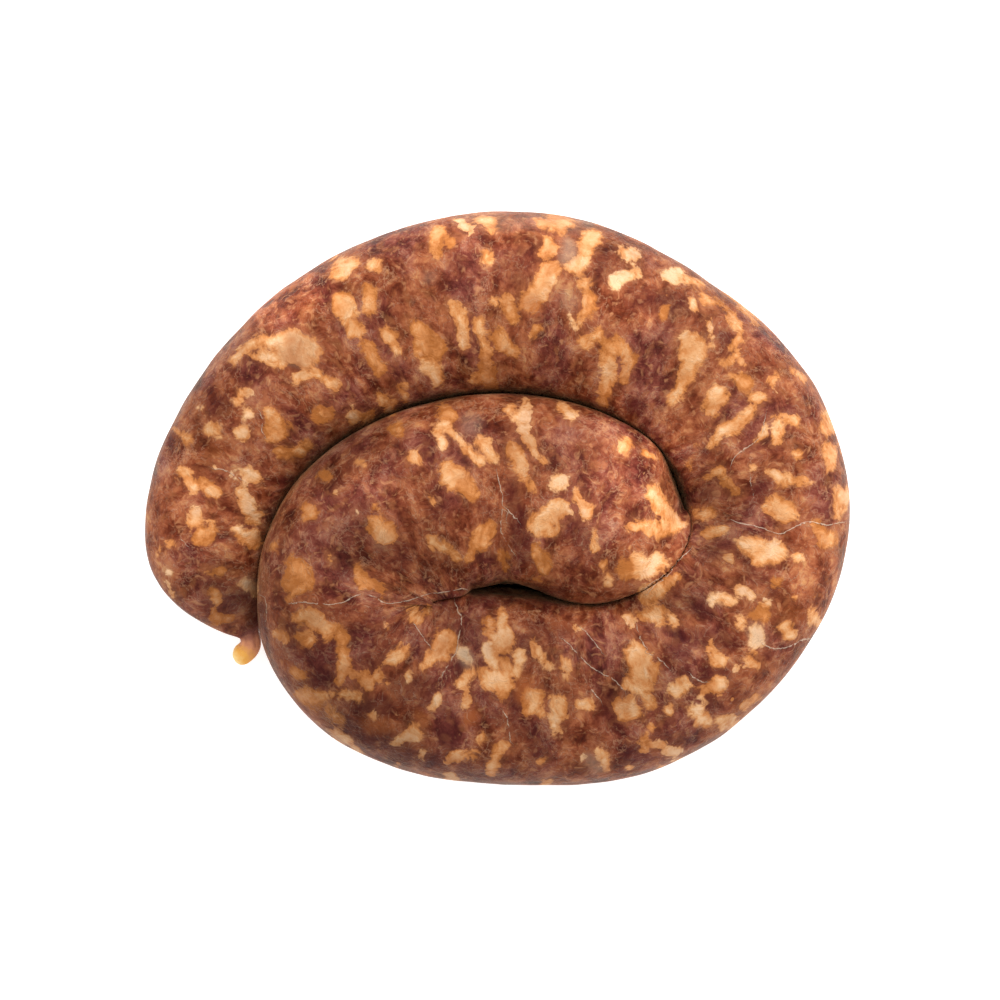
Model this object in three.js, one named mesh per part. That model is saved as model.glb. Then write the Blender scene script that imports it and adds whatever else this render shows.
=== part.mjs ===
// A coiled sausage: one long, coarsely minced sausage in a natural casing, laid flat in a
// spiral of a turn and a half. It starts at the outer end, whose casing is drawn together into
// a short tail, runs over the top of the coil and down its right side, doubles back at a tight
// bend and finishes as the inner lobe, tucked into the middle. The turns press on each other
// and on the table, so each is flattened where it touches and bulges where it is free.
//
// The skin is one closed surface: the grid of a sphere, its rings drawn out along the route.
// Millimetres, +Z up, the base on z = 0 and the origin under the middle of the coil.
import * as THREE from "three";

// Driving dimensions
const GRID_AROUND = 40; // faces round the sausage
const GRID_ALONG = 112; // rings along it
const HEIGHT_TO_WIDTH = 0.93; // a filled casing sags a little under its own weight
const SQUARENESS = 2.25; // 2 is an ellipse; packed turns are a little squarer
const TURN_GAP = 0.4; // left between turns that press on each other
const CREASE_ROUNDING = 3.2; // how softly a side turns into the flat where two turns touch
const BASE_ROUNDING = 2.0; // the same along the edge of the flat base
const PIVOT_RADIUS = 1.4; // left open at the pivot of a tight bend
const OWN_TURN = 40; // along the sausage: nearer than this counts as the same turn

// The middle of the sausage from end to end: its place, its height and the filling's radius
const ROUTE = [
  { x: -61.3, y: -40.0, z: 8.8, r: 15.0 },
  { x: -59.6, y: -35.5, z: 10.0, r: 15.0 },
  { x: -62.0, y: -30.0, z: 11.2, r: 15.0 },
  { x: -66.5, y: -22.5, z: 12.0, r: 15.4 },
  { x: -69.3, y: -13.0, z: 12.2, r: 15.8 },
  { x: -69.2, y: -3.5, z: 12.4, r: 16.2 },
  { x: -66.0, y: 6.0, z: 12.8, r: 17.0 },
  { x: -60.0, y: 16.0, z: 13.6, r: 17.8 },
  { x: -50.0, y: 27.0, z: 14.8, r: 19.0 },
  { x: -35.5, y: 37.5, z: 16.2, r: 20.5 },
  { x: -18.5, y: 45.0, z: 17.0, r: 21.7 },
  { x: 0.5, y: 47.8, z: 17.2, r: 22.1 },
  { x: 19.0, y: 45.6, z: 17.2, r: 22.1 },
  { x: 37.5, y: 36.5, z: 16.8, r: 20.8 },
  { x: 52.5, y: 24.8, z: 16.8, r: 21.8 },
  { x: 61.5, y: 9.5, z: 17.0, r: 21.7 },
  { x: 64.5, y: -8.0, z: 16.6, r: 21.0 },
  { x: 57.8, y: -25.0, z: 16.6, r: 20.4 },
  { x: 45.0, y: -37.3, z: 17.0, r: 21.7 },
  { x: 27.0, y: -45.5, z: 17.4, r: 23.2 },
  { x: 6.5, y: -45.8, z: 17.6, r: 22.8 },
  { x: -14.0, y: -44.8, z: 17.6, r: 22.5 },
  { x: -31.0, y: -37.8, z: 17.8, r: 22.2 },
  { x: -37.5, y: -23.5, z: 18.2, r: 22.6 },
  { x: -30.0, y: -7.5, z: 19.0, r: 23.8 },
  { x: -13.0, y: 1.0, z: 19.8, r: 24.0 },
  { x: 4.5, y: 3.6, z: 20.2, r: 22.8 },
  { x: 20.5, y: -0.8, z: 20.0, r: 23.4 },
  { x: 33.5, y: -7.6, z: 19.2, r: 22.3 },
  { x: 46.2, y: -13.5, z: 18.0, r: 20.5 },
];

// The two ends: a dome closes the filling, and the gathered casing goes on past its pole as a
// tail. Lengths are along the sausage, bulb and neck are the tail's radii at its tip and root.
const OUTER_END = {
  tail: 8.0,
  tip: 2.6,
  bulb: 2.6,
  neck: 2.3,
  dome: 30.0,
  fullness: 0.85,
  pleats: 7,
  pleatDepth: 0.09,
};
const INNER_END = {
  tail: 2.0,
  tip: 1.2,
  bulb: 1.5,
  neck: 1.5,
  dome: 17.0,
  fullness: 0.5,
  pleats: 6,
  pleatDepth: 0.05,
};

// Folds across the casing: place along the sausage, the side they are on (0 is the left, 90
// the top, 180 the right), how far round they reach either way, their depth and their width.
// The two with a depth below zero are the low bulges on which the inner lobe and the turn in
// front of it still meet, under the gap that the pinch opens above them.
const FOLDS = [
  { along: 400, side: 140, reach: 95, depth: 1.7, width: 5.0 },
  { along: 132, side: 150, reach: 60, depth: 0.7, width: 5.0 },
  { along: 265, side: 140, reach: 60, depth: 0.7, width: 5.0 },
  { along: 95, side: 140, reach: 50, depth: 0.6, width: 5.0 },
  { along: 400, side: 218, reach: 40, depth: -4.5, width: 16.0 },
  { along: 303, side: 212, reach: 40, depth: -3.5, width: 16.0 },
];

// Gentle swellings of an uneven filling: length of the wave, lobes round the sausage, size as
// a share of the radius, and where the wave starts
const SWELLINGS = [
  { wave: 61, lobes: 0, size: 0.005, start: 0.7 },
  { wave: 37, lobes: 1, size: 0.007, start: 2.1 },
  { wave: 23, lobes: 2, size: 0.007, start: 4.4 },
  { wave: 15, lobes: 3, size: 0.005, start: 1.3 },
];

// A uniform cubic B-spline through one of the route's values, t running from 0 to 1
function routeValue(kind, t) {
  const last = ROUTE.length - 1;
  const at = (i) => {
    if (i < 0) return 2 * ROUTE[0][kind] - ROUTE[1][kind];
    if (i > last) return 2 * ROUTE[last][kind] - ROUTE[last - 1][kind];
    return ROUTE[i][kind];
  };
  const step = Math.min(Math.floor(t * last), last - 1);
  const f = t * last - step;
  const before = (1 - f) ** 3 * at(step - 1);
  const near = (3 * f ** 3 - 6 * f ** 2 + 4) * at(step);
  const next = (-3 * f ** 3 + 3 * f ** 2 + 3 * f + 1) * at(step + 1);
  const beyond = f ** 3 * at(step + 2);
  return (before + near + next + beyond) / 6;
}

class SausageRoute extends THREE.Curve {
  getPoint(t, target = new THREE.Vector3()) {
    return target.set(routeValue("x", t), routeValue("y", t), routeValue("z", t));
  }
}

const route = new SausageRoute();
route.arcLengthDivisions = 2400;
const LENGTH = route.getLength();

// The lesser of two lengths, rounded off over the given width where the two are close
function softLesser(a, b, rounding) {
  if (rounding <= 0) return Math.min(a, b);
  const overlap = Math.max(rounding - Math.abs(a - b), 0) / rounding;
  return Math.min(a, b) - (overlap * overlap * rounding) / 4;
}

// The radius at a distance from the tip of an end, where the filling would have the full one
function endRadius(end, fromTip, full) {
  const tip = Math.min(fromTip / end.tip, 1);
  const along = Math.min(fromTip / end.tail, 1);
  const tail = THREE.MathUtils.lerp(end.bulb, end.neck, along) * Math.sqrt(1 - (1 - tip) ** 2);
  const rise = THREE.MathUtils.clamp((fromTip - 0.75 * end.tail) / end.dome, 0, 1);
  return Math.max(tail, full * (1 - (1 - rise) ** 2) ** end.fullness);
}

function fullRadius(along) {
  return routeValue("r", route.getUtoTmapping(along / LENGTH));
}

// The filling's share of the length: between the poles of the largest balls the domes hold
const FILLING_FROM = 0.75 * OUTER_END.tail + fullRadius(22);
const FILLING_TO = LENGTH - 0.75 * INNER_END.tail - fullRadius(LENGTH - 21);

// One ring of the sausage: its middle, its directions, its radius and the ball that fills the
// sausage there, which in a dome is the dome's own
function makeStation(along) {
  const middle = route.getPointAt(along / LENGTH);
  const ahead = route.getTangentAt(along / LENGTH);
  const left = new THREE.Vector3(-ahead.y, ahead.x, 0).normalize();
  const up = new THREE.Vector3().crossVectors(ahead, left).normalize();
  const full = fullRadius(along);
  const outer = endRadius(OUTER_END, along, full);
  const inner = endRadius(INNER_END, LENGTH - along, full);
  const ballAt = THREE.MathUtils.clamp(along, FILLING_FROM, FILLING_TO);
  const ball = { middle: route.getPointAt(ballAt / LENGTH), radius: fullRadius(ballAt) };
  return { along, middle, left, up, radius: Math.min(outer, inner), ball, ballAt };
}

// How sharply the route turns to its left round a place: one over the radius of the bend
function bendAt(along) {
  const span = 5;
  const before = route.getTangentAt(Math.max(along - span, 0) / LENGTH);
  const after = route.getTangentAt(Math.min(along + span, LENGTH) / LENGTH);
  return Math.asin(new THREE.Vector3().crossVectors(before, after).z) / (2 * span);
}

const BALLS = Array.from({ length: 320 }, (_, i) =>
  makeStation(THREE.MathUtils.lerp(FILLING_FROM, FILLING_TO, i / 319)),
);

// How far a ray from a ring's middle goes before it meets another turn. Two turns share the
// plane in which the balls that fill them would cross.
function reachToTurns(station, ray) {
  const offset = station.middle.distanceToSquared(station.ball.middle);
  let reach = Infinity;
  for (const other of BALLS) {
    if (Math.abs(other.along - station.ballAt) < OWN_TURN) continue;
    const apart = other.middle.clone().sub(station.ball.middle).dot(ray);
    if (apart < 0.25) continue;
    const squares =
      other.middle.distanceToSquared(station.middle) -
      other.radius ** 2 -
      offset +
      station.ball.radius ** 2;
    reach = Math.min(reach, squares / (2 * apart));
  }
  return Math.max(reach, 0.3 * station.radius) - TURN_GAP / 2;
}

// How deep the folds are at a place on the skin
function foldDepth(along, side) {
  let depth = 0;
  for (const fold of FOLDS) {
    const turned = Math.abs(THREE.MathUtils.euclideanModulo(side - fold.side + 180, 360) - 180);
    if (turned > fold.reach) continue;
    const fade = Math.cos((turned / fold.reach) * (Math.PI / 2)) ** 1.5;
    depth += fold.depth * fade * Math.exp(-(((along - fold.along) / fold.width) ** 2));
  }
  return depth;
}

// The share of the plain radius that swellings and the pleats of the ends leave or add
function unevenness(along, angle) {
  let share = 1;
  for (const swelling of SWELLINGS) {
    const wave = Math.cos((2 * Math.PI * along) / swelling.wave + swelling.start);
    share += swelling.size * wave * Math.cos(swelling.lobes * angle + 2 * swelling.start);
  }
  for (const [end, fromTip] of [
    [OUTER_END, along],
    [INNER_END, LENGTH - along],
  ]) {
    const fade = Math.exp(-Math.max(fromTip - end.tail, 0) / (0.22 * end.dome));
    share += end.pleatDepth * fade * Math.cos(end.pleats * angle);
  }
  return share;
}

// The skin's distance from a ring's middle in the direction of an angle
function skinDistance(station, bend, angle) {
  const side = Math.cos(angle);
  const rise = Math.sin(angle);
  const ray = station.left.clone().multiplyScalar(side).addScaledVector(station.up, rise);
  const powers = Math.abs(side) ** SQUARENESS + Math.abs(rise / HEIGHT_TO_WIDTH) ** SQUARENESS;
  const round = station.radius / powers ** (1 / SQUARENESS);
  let distance = round * unevenness(station.along, angle);
  distance -= Math.min(foldDepth(station.along, THREE.MathUtils.radToDeg(angle)), 0.3 * distance);
  const crease = Math.min(CREASE_ROUNDING, 0.4 * station.radius);
  distance = softLesser(distance, reachToTurns(station, ray), crease);
  if (bend * side > 0) {
    const pivot = (1 / Math.abs(bend) - PIVOT_RADIUS) / Math.abs(side);
    distance = softLesser(distance, pivot, crease);
  }
  if (ray.z < 0) {
    const base = Math.min(BASE_ROUNDING, 0.4 * station.radius);
    distance = softLesser(distance, station.middle.z / -ray.z, base);
  }
  return Math.max(distance, 0);
}

// Where the rings lie: closer together over the ends, where the form turns quickly
function ringPlaces() {
  const span = 0.07 * LENGTH;
  const places = [0];
  for (let i = 0; i < GRID_ALONG; i++) {
    const middle = ((i + 0.5) / GRID_ALONG) * LENGTH;
    const toEnd = Math.min(middle, LENGTH - middle);
    places.push(places[i] + 0.28 + 0.72 * Math.min(toEnd / span, 1));
  }
  return places.map((place) => (place / places[GRID_ALONG]) * LENGTH);
}

function sausageGeometry() {
  const rings = ringPlaces().map((along) => [makeStation(along), bendAt(along)]);
  const skin = new THREE.SphereGeometry(1, GRID_AROUND, GRID_ALONG);
  const position = skin.getAttribute("position");
  const point = new THREE.Vector3();
  for (let i = 0; i < position.count; i++) {
    const ring = Math.floor(i / (GRID_AROUND + 1));
    const turn = 1 - (i % (GRID_AROUND + 1)) / GRID_AROUND;
    const angle = 2 * Math.PI * turn;
    const [station, bend] = rings[ring];
    const isPole = ring === 0 || ring === GRID_ALONG;
    const distance = isPole ? 0 : skinDistance(station, bend, angle);
    point.copy(station.middle);
    point.addScaledVector(station.left, Math.cos(angle) * distance);
    point.addScaledVector(station.up, Math.sin(angle) * distance);
    position.setXYZ(i, point.x, point.y, point.z);
  }
  skin.computeBoundingBox();
  const middle = skin.boundingBox.getCenter(new THREE.Vector3());
  skin.translate(-middle.x, -middle.y, -skin.boundingBox.min.z);
  skin.computeVertexNormals();
  return skin;
}

const mincedMeatInCasing = new THREE.MeshStandardMaterial({
  name: "minced_meat_in_casing",
  color: 0x9f5e43,
  roughness: 0.5,
  metalness: 0,
});

const sausage = new THREE.Mesh(sausageGeometry(), mincedMeatInCasing);
sausage.name = "sausage";

const coil = new THREE.Group();
coil.name = "coiled_sausage";
coil.add(sausage);

export default coil;
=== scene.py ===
# %% [markdown]
# # A coiled sausage
# A long, coarsely minced sausage in a natural casing, laid flat in a spiral and seen from
# straight above. The imported solid already has the right form: this file gives it a finer skin,
# with the folds and swellings of the casing, and the look of lean meat and fat behind it.
#
# The first cell loads that solid and keeps its box, on whose middle the finer skin is centred.

import bpy
import numpy as np
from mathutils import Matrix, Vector


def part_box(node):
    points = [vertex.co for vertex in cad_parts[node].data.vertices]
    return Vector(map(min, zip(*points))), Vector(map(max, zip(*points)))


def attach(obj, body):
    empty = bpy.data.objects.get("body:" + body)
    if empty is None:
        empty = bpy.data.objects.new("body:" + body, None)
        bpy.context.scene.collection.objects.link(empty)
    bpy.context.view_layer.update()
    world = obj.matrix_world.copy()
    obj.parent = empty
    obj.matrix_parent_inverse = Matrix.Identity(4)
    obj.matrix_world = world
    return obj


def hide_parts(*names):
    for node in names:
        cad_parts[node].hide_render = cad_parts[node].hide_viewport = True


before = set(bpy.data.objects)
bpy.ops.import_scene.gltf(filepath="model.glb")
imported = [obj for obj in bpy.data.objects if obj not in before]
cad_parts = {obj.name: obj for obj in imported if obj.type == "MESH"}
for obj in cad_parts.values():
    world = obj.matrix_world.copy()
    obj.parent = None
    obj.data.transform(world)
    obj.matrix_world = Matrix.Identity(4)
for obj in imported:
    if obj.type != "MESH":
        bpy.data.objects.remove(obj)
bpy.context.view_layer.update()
low_corner, high_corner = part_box("sausage")
print("solid, mm:", [round(1000 * (b - a), 1) for a, b in zip(low_corner, high_corner)])

# %% [markdown]
# ## The route
# A sausage is a tube along a curve. Blender could bevel a curve object, but its tube is round
# and equally thick, and its turns would run into each other. Here the ring of skin at each
# place is worked out instead: round where it is free, and flat where it meets the table or the
# next turn. The route keeps close to the one that the solid was drawn along, in millimetres: the
# place of the middle, its height, and the radius of the filling.

# %% Driving dimensions and the route
RINGS = 580
FACES_AROUND = 160
HEIGHT_TO_WIDTH = 0.93
SQUARENESS = 2.25
TURN_GAP = 0.1
CREASE_ROUNDING = 1.6
BASE_ROUNDING = 2.0
PIVOT_RADIUS = 1.5
OWN_TURN = 40.0

ROUTE = np.array([
    (-64.2, -39.0, 8.8, 15.0),
    (-58.8, -35.9, 10.0, 15.0),
    (-61.7, -30.0, 11.2, 15.0),
    (-66.5, -22.5, 12.0, 15.4),
    (-69.3, -13.0, 12.2, 15.8),
    (-69.2, -3.5, 12.4, 16.2),
    (-66.0, 6.0, 12.8, 17.0),
    (-60.0, 16.0, 13.6, 17.8),
    (-50.0, 27.0, 14.8, 19.0),
    (-35.5, 37.5, 16.2, 20.5),
    (-18.5, 45.0, 17.0, 21.7),
    (0.5, 47.8, 17.2, 22.1),
    (19.0, 45.6, 17.2, 22.1),
    (37.5, 36.5, 16.8, 20.8),
    (52.5, 24.8, 16.8, 21.8),
    (61.5, 9.5, 17.0, 21.7),
    (64.5, -8.0, 16.6, 21.0),
    (57.3, -24.5, 16.8, 21.0),
    (44.5, -36.8, 17.1, 22.3),
    (27.0, -46.0, 17.4, 22.7),
    (6.5, -45.8, 17.6, 22.8),
    (-14.0, -44.2, 17.6, 22.9),
    (-31.0, -37.8, 17.8, 22.2),
    (-37.5, -23.5, 18.2, 22.6),
    (-30.0, -6.9, 19.0, 23.4),
    (-13.0, 1.6, 19.8, 23.4),
    (4.5, 3.6, 20.2, 22.8),
    (20.5, -0.8, 20.0, 23.4),
    (33.5, -8.2, 19.5, 22.8),
    (46.6, -10.0, 18.0, 18.4),
])


def spline(points, share):
    """A uniform cubic B-spline through the points, share running from 0 to 1 along it."""
    last = len(points) - 1
    step = np.minimum((share * last).astype(int), last - 1)
    f = (share * last - step)[:, None]
    ends = [2 * points[0] - points[1]], points, [2 * points[-1] - points[-2]]
    padded = np.vstack(ends)
    return (
        (1 - f) ** 3 * padded[step]
        + (3 * f**3 - 6 * f**2 + 4) * padded[step + 1]
        + (-3 * f**3 + 3 * f**2 + 3 * f + 1) * padded[step + 2]
        + f**3 * padded[step + 3]
    ) / 6


walked = spline(ROUTE, np.linspace(0, 1, 6001))
steps = np.linalg.norm(np.diff(walked[:, :3], axis=0), axis=1)
milestones = np.concatenate([[0.0], np.cumsum(steps)])
LENGTH = milestones[-1]


def route_at(along):
    """Place, height and radius of the sausage's middle at lengths along it, in mm."""
    columns = [np.interp(along, milestones, walked[:, k]) for k in range(4)]
    return np.stack(columns, axis=1)


print("length of the sausage, mm:", round(LENGTH, 1))

# %% [markdown]
# ## The ends
# The casing is drawn together at both ends. A dome closes the filling, and the empty casing
# goes on past it: a short tail at the outer end, a small point at the inner one. The radius is
# about the larger of dome and tail. A sum of high powers rounds the corner between the two.

# %% Radius along the sausage
# lengths and radii in mm, but for the fullness, the power that shapes the dome
OUTER_END = dict(tail=8.0, tip=2.8, bulb=2.65, neck=2.5, filled=7.0, dome=27.0, fullness=0.85)
INNER_END = dict(tail=2.0, tip=1.2, bulb=1.5, neck=1.5, filled=1.5, dome=17.0, fullness=0.5)
BLEND_POWER = 5
# the share of the length over which rings draw closer to an end, and their spacing there
END_ZONE = 0.06
END_SPACING = 0.3


def end_radius(end, from_tip, full):
    """The radius at a distance from an end's tip, where the filling would have the full one."""
    tip = np.clip(from_tip / end["tip"], 0, 1)
    along = np.clip(from_tip / end["tail"], 0, 1)
    tail = (end["bulb"] + (end["neck"] - end["bulb"]) * along) * np.sqrt(1 - (1 - tip) ** 2)
    rise = np.clip((from_tip - end["filled"]) / end["dome"], 0, 1)
    dome = full * (1 - (1 - rise) ** 2) ** end["fullness"]
    return (tail**BLEND_POWER + dome**BLEND_POWER) ** (1 / BLEND_POWER)


def ring_places(count):
    """Places of the rings along the sausage, closer together over its ends."""
    middles = (np.arange(count - 1) + 0.5) / (count - 1) * LENGTH
    to_end = np.minimum(middles, LENGTH - middles)
    widths = END_SPACING + (1 - END_SPACING) * np.minimum(to_end / (END_ZONE * LENGTH), 1)
    places = np.concatenate([[0.0], np.cumsum(widths)])
    return places / places[-1] * LENGTH


along = ring_places(RINGS)
middle = route_at(along)
full_radius = middle[:, 3]
middle = middle[:, :3]
outer_radius = end_radius(OUTER_END, along, full_radius)
radius = np.minimum(outer_radius, end_radius(INNER_END, LENGTH - along, full_radius))
print("thickness, mm:", round(2 * radius.max(), 1))

# %% [markdown]
# ## Rays out of each ring
# Each ring's directions are ahead along the route, left across the table, and up. A ray leaves
# the middle at every angle round it, 0 degrees to the left and 90 up. The cells up to the mesh
# ask one question: how far does each ray go before it comes out of the skin?

# %% Directions of the rings
def unit(vectors):
    """The same directions, each at a length of 1."""
    return vectors / np.linalg.norm(vectors, axis=-1, keepdims=True)


def heading(places, reach):
    """The direction of the route at places, measured over a reach either side, in mm."""
    ahead = route_at(np.minimum(places + reach, LENGTH))[:, :3]
    behind = route_at(np.maximum(places - reach, 0))[:, :3]
    return unit(ahead - behind)


ahead = heading(along, 0.5)
left = unit(np.stack([-ahead[:, 1], ahead[:, 0], np.zeros(RINGS)], axis=1))
up = np.cross(ahead, left)
angle = np.linspace(0, 2 * np.pi, FACES_AROUND, endpoint=False)
sideways = np.cos(angle)
upward = np.sin(angle)
rays = left[:, None, :] * sideways[None, :, None] + up[:, None, :] * upward[None, :, None]

BEND_REACH = 5
before = heading(np.maximum(along - BEND_REACH, 0), 1)
after = heading(np.minimum(along + BEND_REACH, LENGTH), 1)
bend = np.arcsin(np.clip(np.cross(before, after)[:, 2], -1, 1)) / (2 * BEND_REACH)
print("tightest bend, mm:", round(1 / np.abs(bend).max(), 1))

# %% [markdown]
# ## Folds and an uneven filling
# A natural casing isn't a smooth pipe. It is pinched where the sausage was bent, it wrinkles
# towards its tied ends, and the coarse filling pushes small lumps through it. These are shifts
# of the ray's length: a fold is a dip round a short stroke across the skin, and the lumps are
# many waves of chance direction added together, which is a quick way to an even, natural
# unevenness without any texture image.

# %% Folds, lumps and pleats
# place along in mm, side in degrees (0 left, 90 top, 180 right) and reach either way, depth and
# width in mm, and how far the fold leans along the sausage; a depth below 0 is a swelling
FOLDS = [
    (398.4, 120, 74, 1.8, 4.2, 3.2),
    (406.0, 190, 42, 0.6, 11.0, 0.0),
    (401.0, 140, 42, 0.9, 1.6, 4.0),
    (137.0, 115, 70, 0.55, 2.0, -13.0),
    (94.5, 120, 40, 0.45, 1.4, 0.0),
    (132.0, 150, 60, 0.5, 5.0, 0.0),
    (265.5, 120, 55, 0.5, 2.2, 2.0),
    (317.0, 118, 42, 0.3, 1.2, 2.0),
    (221.0, 70, 60, 0.35, 1.1, 0.0),
    (243.0, 50, 45, 0.3, 1.3, -6.0),
    (352.0, 100, 60, 0.35, 1.6, 1.0),
    (17.0, 0, 60, 1.6, 6.5, 0.0),
    (437.0, 34, 52, 2.5, 9.5, 0.0),
    (431.0, 185, 42, -1.2, 9.0, 0.0),
    (400.0, 222, 38, -4.3, 16.0, 0.0),
    (303.0, 212, 40, -3.5, 16.0, 0.0),
]


def fold_depth(places, sides):
    """How deep the skin is folded in at places along it and sides round it."""
    depth = np.zeros((len(places), len(sides)))
    for place, side, reach, deep, width, lean in FOLDS:
        turned = (sides - side + 180) % 360 - 180
        fade = np.cos(np.clip(turned / reach, -1, 1) * np.pi / 2) ** 1.5
        away = places[:, None] - place - lean * (turned / reach)[None, :]
        depth += deep * fade[None, :] * np.exp(-((away / width) ** 2))
    return depth


def lumps(points, wavelength, count, seed):
    """Waves in chance directions, of about one wavelength, added together: about -1 to 1."""
    chance = np.random.default_rng(seed)
    total = np.zeros(points.shape[:-1])
    for _ in range(count):
        direction = unit(chance.normal(size=3))
        length = wavelength * chance.uniform(0.7, 1.5)
        total += np.cos(points @ direction * (2 * np.pi / length) + chance.uniform(0, 2 * np.pi))
    return total / np.sqrt(count)


# height and wavelength in mm, how many waves, and the seed of their directions
LUMPS = [(0.16, 26.0, 20, 1), (0.1, 11.0, 24, 2), (0.045, 5.5, 28, 3)]
EVEN_RADIUS = 22
SMOOTH_BELOW = 12
even_pipe = EVEN_RADIUS * sideways[None, :], EVEN_RADIUS * upward[None, :], along[:, None]
even_pipe = np.stack(np.broadcast_arrays(*even_pipe), axis=-1)
uneven = sum(high * lumps(even_pipe, *waves) for high, *waves in LUMPS)
uneven *= np.minimum(radius / SMOOTH_BELOW, 1)[:, None]

pleats = np.zeros((RINGS, FACES_AROUND))
# distance from the tip, the length over which they fade, their depth as a share, and their number
for from_tip, fade_length, depth, number in [
    (along - OUTER_END["tail"], 6.5, 0.035, 7),
    (LENGTH - along - INNER_END["tail"], 5.0, 0.06, 8),
]:
    fade = np.exp(-np.maximum(from_tip, 0) / fade_length)
    pleats += depth * fade[:, None] * np.cos(number * angle + 0.6 * np.sin(3 * angle))[None, :]

# %% [markdown]
# ## Where the skin meets itself and the table
# Think of each stretch of filling as a ball. Two balls that press on each other share a flat
# wall, the plane in which their circles would cross, so a ray stops there. A ray that points
# into a tight bend stops short of the bend's pivot, and one that points down stops at the
# table. Each stop is rounded off into the free form by a soft minimum, as a skin would be. In two
# places the damp skins of neighbouring turns stick together high up, so a web bridges the crease.

# %% The skin
# webs of skin that bridge a crease: their two ends, their height, and where they fade out
WEBS = [
    (47.5, -8.5, 38.5, -21.5, 37.0, 7.5),
    (-24.0, -25.2, -12.5, -22.4, 37.5, 7.0),
]
# in mm, but for the share by which a web sharpens the crease, and for how steep its rays are
WEB_MOST_LIFT = 14.0
WEB_LEAST_RISE = 0.25
WEB_SHARPENS = 0.8
WEB_OVERLAP = 0.04
WEB_PIVOT_SHIFT = 1.4
# how many balls, how far from the tips the end ones' size is read, and how far one has to lie
# along a ray to stop it, in mm
BALLS = 400
END_BALLS_INSIDE = 22.0, 21.0
LEAST_TOWARDS = 0.25
NO_STOP = 1e6
# shares of the radius: the least that a turn keeps, the deepest fold and the widest rounding
LEAST_KEPT = 0.3
DEEPEST_FOLD = 0.3
MOST_ROUNDING = 0.4


def soft_lesser(a, b, rounding):
    """The lesser of two lengths, with the corner between them rounded off."""
    overlap = np.maximum(rounding - np.abs(a - b), 0) / rounding
    return np.minimum(a, b) - overlap**2 * rounding / 4


def from_segment(points, start, end):
    """How far points lie from a line, seen from above, and how far along it the nearest part is."""
    run = end - start
    share = np.clip((points - start) @ run / max(run @ run, 1e-9), 0, 1)
    return np.linalg.norm(points - start - share[..., None] * run, axis=-1), share


def smooth(value, low, high):
    """0 below low, 1 above high, and a smooth rise between them."""
    share = np.clip((value - low) / (high - low), 0, 1)
    return share * share * (3 - 2 * share)


outer_ball, inner_ball = route_at([END_BALLS_INSIDE[0], LENGTH - END_BALLS_INSIDE[1]])[:, 3]
filling_from = OUTER_END["filled"] + outer_ball
filling_to = LENGTH - INNER_END["filled"] - inner_ball
ball_place = np.clip(along, filling_from, filling_to)
own_ball = route_at(ball_place)
offset = ((middle - own_ball[:, :3]) ** 2).sum(axis=1)
reach = np.full((RINGS, FACES_AROUND), NO_STOP)
for place in np.linspace(filling_from, filling_to, BALLS):
    other = route_at([place])[0]
    far = np.abs(place - ball_place) > OWN_TURN
    squares = ((other[:3] - middle[far]) ** 2).sum(axis=1) - other[3] ** 2
    squares += own_ball[far, 3] ** 2 - offset[far]
    apart = (rays[far] * (other[:3] - own_ball[far, :3])[:, None, :]).sum(axis=2)
    wall = squares[:, None] / (2 * np.maximum(apart, LEAST_TOWARDS))
    reach[far] = np.minimum(reach[far], np.where(apart > LEAST_TOWARDS, wall, NO_STOP))
reach = np.maximum(reach, LEAST_KEPT * radius[:, None]) - TURN_GAP / 2

powers = np.abs(sideways) ** SQUARENESS + np.abs(upward / HEIGHT_TO_WIDTH) ** SQUARENESS
distance = radius[:, None] / powers[None, :] ** (1 / SQUARENESS)
distance = distance * (1 + pleats) + uneven
distance -= np.minimum(fold_depth(along, np.degrees(angle)), DEEPEST_FOLD * distance)
web_near = np.zeros((RINGS, FACES_AROUND))
for x1, y1, x2, y2, level, fade in WEBS:
    free = middle[:, None, :] + rays * np.minimum(distance, reach)[:, :, None]
    away, _ = from_segment(free[:, :, :2], np.array([x1, y1]), np.array([x2, y2]))
    near = 1 - smooth(away, 0.0, fade)
    missing = (level - free[:, :, 2]) / np.maximum(rays[:, :, 2], WEB_LEAST_RISE)
    lift = np.where(rays[:, :, 2] > 0, np.clip(missing, 0, WEB_MOST_LIFT), 0)
    distance = distance + near * lift
    web_near = np.maximum(web_near, near)
crease = np.maximum(np.minimum(CREASE_ROUNDING, MOST_ROUNDING * radius), 0.01)[:, None]
crease = crease * (1 - WEB_SHARPENS * web_near)
distance = soft_lesser(distance, reach + WEB_OVERLAP * web_near, crease)
inwards = bend[:, None] * sideways[None, :] > 0
to_pivot = 1 / np.maximum(np.abs(bend), 1e-4) - PIVOT_RADIUS
pivot = to_pivot[:, None] / np.maximum(np.abs(sideways), 1e-4)[None, :]
pivot = pivot + WEB_PIVOT_SHIFT * web_near
distance = soft_lesser(distance, np.where(inwards, pivot, NO_STOP), crease)
down = np.maximum(-rays[:, :, 2], 1e-4)
table = np.where(rays[:, :, 2] < 0, middle[:, 2][:, None] / down, NO_STOP)
base = np.maximum(np.minimum(BASE_ROUNDING, MOST_ROUNDING * radius), 0.01)[:, None]
distance = np.maximum(soft_lesser(distance, table, base), 0.02)
skin = middle[:, None, :] + rays * distance[:, :, None]
print("under a web, share:", round(float((web_near > 0.5).mean()), 4))

# %% [markdown]
# ## The mesh
# The rings become a grid of four-sided faces with one point at each tip. A mesh made straight
# from lists is the plain way to bring worked-out points into Blender. It gets one flat map, the
# skin cut open along its underside and laid out in two strips, so that its finish can be baked
# onto a square picture later without stretching.

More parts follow.
